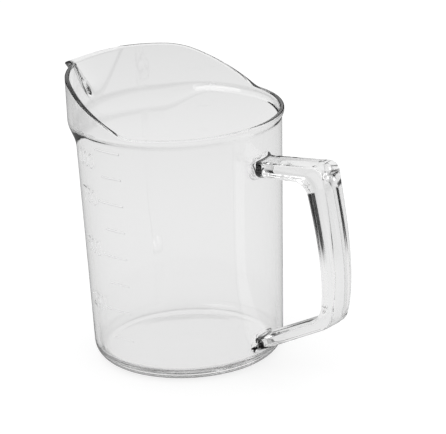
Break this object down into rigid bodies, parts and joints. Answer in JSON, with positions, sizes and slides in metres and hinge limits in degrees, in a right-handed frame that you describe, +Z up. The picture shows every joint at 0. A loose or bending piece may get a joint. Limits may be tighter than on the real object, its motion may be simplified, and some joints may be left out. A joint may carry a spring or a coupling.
{
  "type": "measuring jug",
  "caption": "Clear moulded measuring jug: tapered round body, raised flared collar with a V-shaped pouring spout, solid bar handle and raised volume lines.",
  "frame": {"origin": "on the axis of the round body, at the table that the foot ring stands on", "axes": "+Z up along the axis of the body, +X from the axis towards the handle, so the spout points along -X"},
  "size_m": [0.1825, 0.116, 0.1594],
  "materials": {
    "clear_plastic": "clear colourless moulded plastic, polished inside and out",
    "scale_mark": "the same clear plastic, raised and finely frosted"
  },
  "bodies": {
    "root": {"foot_ring": "clear_plastic", "base_disc": "clear_plastic", "body_wall": "clear_plastic", "flared_collar": "clear_plastic", "pouring_spout": "clear_plastic", "handle_upper_root": "clear_plastic", "handle_upper_arm": "clear_plastic", "handle_grip": "clear_plastic", "handle_lower_arm": "clear_plastic", "handle_lower_root": "clear_plastic", "scale_lines": "scale_mark"}
  },
  "joints": []
}
